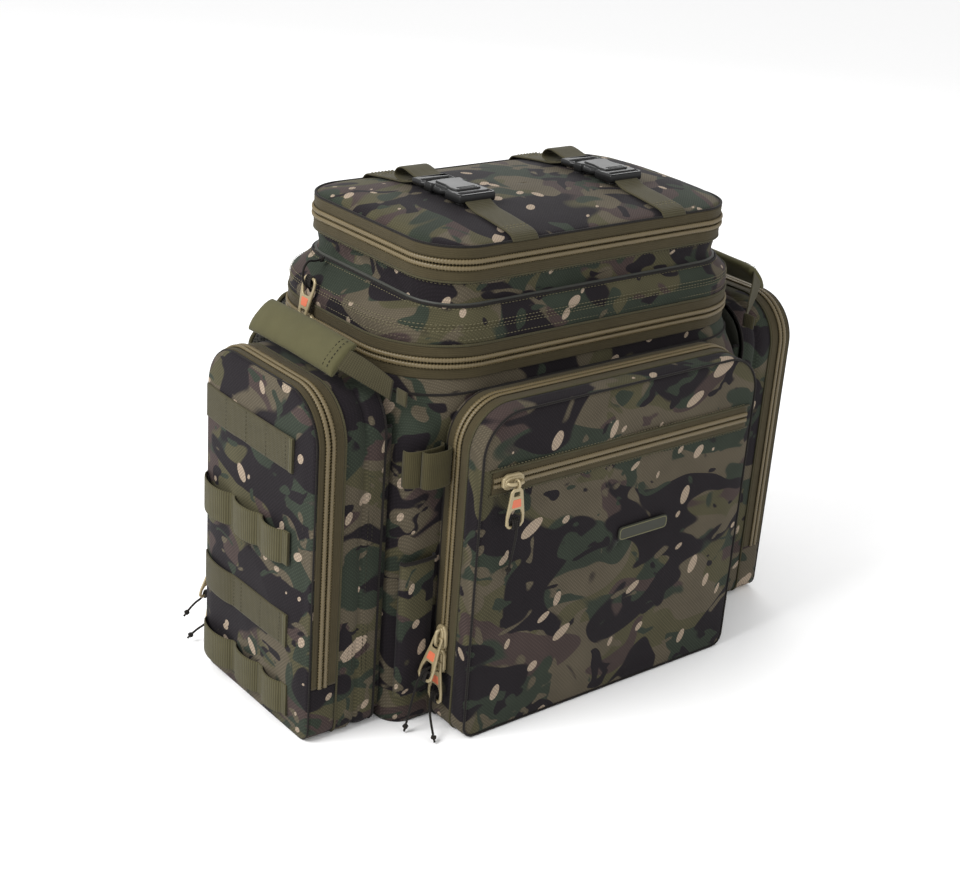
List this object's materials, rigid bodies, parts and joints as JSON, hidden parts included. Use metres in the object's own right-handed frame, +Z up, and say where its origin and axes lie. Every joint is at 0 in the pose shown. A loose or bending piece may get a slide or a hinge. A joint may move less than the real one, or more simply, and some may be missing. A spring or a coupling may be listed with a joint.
{
  "type": "tackle backpack",
  "caption": "Large camouflage tackle backpack with a two-storey zipped lid, a fold-down front pocket, two fold-down side pockets, side handles and shoulder straps.",
  "frame": {"origin": "on the ground under the centre of the main compartment, at the middle of its base", "axes": "+X to the right of somebody facing the front pocket, +Y from the front towards the wearer's back, +Z up"},
  "size_m": [0.644, 0.362, 0.5186],
  "materials": {
    "camo_cloth": "twill polyester, woodland pattern",
    "zip_tape": "ribbed coil zip",
    "olive_webbing": "woven webbing",
    "elastic": "woven elastic",
    "black_plastic": "moulded, glossy",
    "spacer_mesh": "padded air mesh",
    "base_sheet": "stiffener sheet",
    "badge_rubber": "matt moulded",
    "zip_metal": "tan enamel, semi-gloss",
    "cord_black": "braided"
  },
  "bodies": {
    "bag": {"main_shell": "camo_cloth", "base_board": "base_sheet", "back_pads": "spacer_mesh", "fixed_zip_tapes": "zip_tape", "front_tub": "camo_cloth", "left_tub": "camo_cloth", "right_tub": "camo_cloth", "sleeve_webs": "camo_cloth", "slot_pockets": "camo_cloth", "rod_loops": "elastic", "sewn_webbing": "olive_webbing"},
    "main_lid": {"lid_shell": "camo_cloth", "lid_zip_tapes": "zip_tape"},
    "top_flap": {"top_panel": "camo_cloth", "top_zip_tape": "zip_tape", "lid_straps": "olive_webbing", "buckle_sockets": "black_plastic"},
    "front_door": {"front_door_shell": "camo_cloth", "front_door_zip_tapes": "zip_tape", "badge": "badge_rubber"},
    "haul": {"haul_loop": "olive_webbing"},
    "left_door": {"left_door_panel": "camo_cloth", "left_door_zip_tape": "zip_tape", "left_door_webbing": "olive_webbing"},
    "left_grip": {"left_handle": "olive_webbing"},
    "left_strap": {"left_shoulder_pad": "spacer_mesh", "left_ladder_lock": "black_plastic"},
    "left_plug": {"left_buckle_plug": "black_plastic"},
    "right_door": {"right_door_panel": "camo_cloth", "right_door_zip_tape": "zip_tape", "right_door_webbing": "olive_webbing"},
    "right_grip": {"right_handle": "olive_webbing"},
    "right_strap": {"right_shoulder_pad": "spacer_mesh", "right_ladder_lock": "black_plastic"},
    "right_plug": {"right_buckle_plug": "black_plastic"},
    "face_slider": {"face_slider": "zip_metal"},
    "face_pull": {"face_pull": "zip_metal", "face_cord": "cord_black"},
    "front_upper_slider": {"front_upper_slider": "zip_metal"},
    "front_upper_pull": {"front_upper_pull": "zip_metal", "front_upper_cord": "cord_black"},
    "front_lower_slider": {"front_lower_slider": "zip_metal"},
    "front_lower_pull": {"front_lower_pull": "zip_metal", "front_lower_cord": "cord_black"},
    "lid_slider": {"lid_slider": "zip_metal"},
    "lid_pull": {"lid_pull": "zip_metal", "lid_cord": "cord_black"},
    "tray_slider": {"tray_slider": "zip_metal"},
    "tray_pull": {"tray_pull": "zip_metal"},
    "left_upper_slider": {"left_upper_slider": "zip_metal"},
    "left_upper_pull": {"left_upper_pull": "zip_metal", "left_upper_cord": "cord_black"},
    "left_lower_slider": {"left_lower_slider": "zip_metal"},
    "left_lower_pull": {"left_lower_pull": "zip_metal", "left_lower_cord": "cord_black"},
    "right_upper_slider": {"right_upper_slider": "zip_metal"},
    "right_upper_pull": {"right_upper_pull": "zip_metal"},
    "right_lower_slider": {"right_lower_slider": "zip_metal"},
    "right_lower_pull": {"right_lower_pull": "zip_metal"}
  },
  "joints": [
    {"name": "main_lid_hinge", "type": "hinge", "parent": "bag", "child": "main_lid", "pos_m": [0, 0.132, 0.3805], "axis": [-1, 0, 0], "range_deg": [0, 90]},
    {"name": "top_flap_hinge", "type": "hinge", "parent": "main_lid", "child": "top_flap", "pos_m": [0, 0.1152, 0.4735], "axis": [-1, 0, 0], "range_deg": [0, 110]},
    {"name": "front_door_hinge", "type": "hinge", "parent": "bag", "child": "front_door", "pos_m": [0, -0.198, 0.062], "axis": [1, 0, 0], "range_deg": [0, 95]},
    {"name": "left_door_hinge", "type": "hinge", "parent": "bag", "child": "left_door", "pos_m": [-0.32, 0, 0.06], "axis": [0, -1, 0], "range_deg": [0, 95]},
    {"name": "left_handle_hinge", "type": "hinge", "parent": "bag", "child": "left_grip", "pos_m": [-0.237, 0, 0.36], "axis": [0, 1, 0], "range_deg": [0, 10]},
    {"name": "left_strap_hinge", "type": "hinge", "parent": "bag", "child": "left_strap", "pos_m": [0, 0.134, 0.374], "axis": [1, 0, 0], "range_deg": [0, 20]},
    {"name": "left_buckle_release", "type": "slide", "parent": "top_flap", "child": "left_plug", "axis": [0, 1, 0], "range_m": [0, 0.03]},
    {"name": "right_door_hinge", "type": "hinge", "parent": "bag", "child": "right_door", "pos_m": [0.32, 0, 0.06], "axis": [0, 1, 0], "range_deg": [0, 95]},
    {"name": "right_handle_hinge", "type": "hinge", "parent": "bag", "child": "right_grip", "pos_m": [0.237, 0, 0.36], "axis": [0, -1, 0], "range_deg": [0, 10]},
    {"name": "right_strap_hinge", "type": "hinge", "parent": "bag", "child": "right_strap", "pos_m": [0, 0.134, 0.374], "axis": [1, 0, 0], "range_deg": [0, 20]},
    {"name": "right_buckle_release", "type": "slide", "parent": "top_flap", "child": "right_plug", "axis": [0, 1, 0], "range_m": [0, 0.03]},
    {"name": "haul_loop_hinge", "type": "hinge", "parent": "bag", "child": "haul", "pos_m": [0, 0.139, 0.3518], "axis": [-1, 0, 0], "range_deg": [0, 60]},
    {"name": "face_slide", "type": "slide", "parent": "front_door", "child": "face_slider", "axis": [1, 0, 0], "range_m": [0, 0.3]},
    {"name": "face_pull_swing", "type": "hinge", "parent": "face_slider", "child": "face_pull", "pos_m": [-0.15, -0.2099, 0.28], "axis": [-1, 0, 0], "range_deg": [0, 150]},
    {"name": "front_upper_slide", "type": "slide", "parent": "bag", "child": "front_upper_slider", "axis": [0, 0, 1], "range_m": [0, 0.11]},
    {"name": "front_upper_pull_swing", "type": "hinge", "parent": "front_upper_slider", "child": "front_upper_pull", "pos_m": [-0.1925, -0.16, 0.102], "axis": [0, 1, 0], "range_deg": [0, 120]},
    {"name": "front_lower_slide", "type": "slide", "parent": "bag", "child": "front_lower_slider", "axis": [0, 0, 1], "range_m": [0, 0.11]},
    {"name": "front_lower_pull_swing", "type": "hinge", "parent": "front_lower_slider", "child": "front_lower_pull", "pos_m": [-0.1925, -0.16, 0.0755], "axis": [0, 1, 0], "range_deg": [0, 30]},
    {"name": "lid_slide", "type": "slide", "parent": "main_lid", "child": "lid_slider", "axis": [0, -1, 0], "range_m": [0, 0.07]},
    {"name": "lid_pull_swing", "type": "hinge", "parent": "lid_slider", "child": "lid_pull", "pos_m": [-0.241, 0.03, 0.3805], "axis": [0, -1, 0], "range_deg": [0, 40]},
    {"name": "tray_slide", "type": "slide", "parent": "main_lid", "child": "tray_slider", "axis": [0, -1, 0], "range_m": [0, 0.11]},
    {"name": "tray_pull_swing", "type": "hinge", "parent": "tray_slider", "child": "tray_pull", "pos_m": [0.208, 0.048, 0.4735], "axis": [0, -1, 0], "range_deg": [0, 100]},
    {"name": "left_upper_slide", "type": "slide", "parent": "bag", "child": "left_upper_slider", "axis": [0, 0, 1], "range_m": [0, 0.17]},
    {"name": "left_upper_pull_swing", "type": "hinge", "parent": "left_upper_slider", "child": "left_upper_pull", "pos_m": [-0.304, 0.0835, 0.102], "axis": [1, 0, 0], "range_deg": [0, 120]},
    {"name": "left_lower_slide", "type": "slide", "parent": "bag", "child": "left_lower_slider", "axis": [0, 0, 1], "range_m": [0, 0.17]},
    {"name": "left_lower_pull_swing", "type": "hinge", "parent": "left_lower_slider", "child": "left_lower_pull", "pos_m": [-0.304, 0.0835, 0.0755], "axis": [1, 0, 0], "range_deg": [0, 22]},
    {"name": "right_upper_slide", "type": "slide", "parent": "bag", "child": "right_upper_slider", "axis": [0, 0, 1], "range_m": [0, 0.17]},
    {"name": "right_upper_pull_swing", "type": "hinge", "parent": "right_upper_slider", "child": "right_upper_pull", "pos_m": [0.304, 0.0835, 0.102], "axis": [1, 0, 0], "range_deg": [0, 120]},
    {"name": "right_lower_slide", "type": "slide", "parent": "bag", "child": "right_lower_slider", "axis": [0, 0, 1], "range_m": [0, 0.17]},
    {"name": "right_lower_pull_swing", "type": "hinge", "parent": "right_lower_slider", "child": "right_lower_pull", "pos_m": [0.304, 0.0835, 0.0755], "axis": [1, 0, 0], "range_deg": [0, 22]}
  ],
  "couplings": [
    {"joint": "front_lower_slide", "follows": "front_upper_slide", "ratio": 1},
    {"joint": "left_lower_slide", "follows": "left_upper_slide", "ratio": 1},
    {"joint": "right_lower_slide", "follows": "right_upper_slide", "ratio": 1}
  ]
}
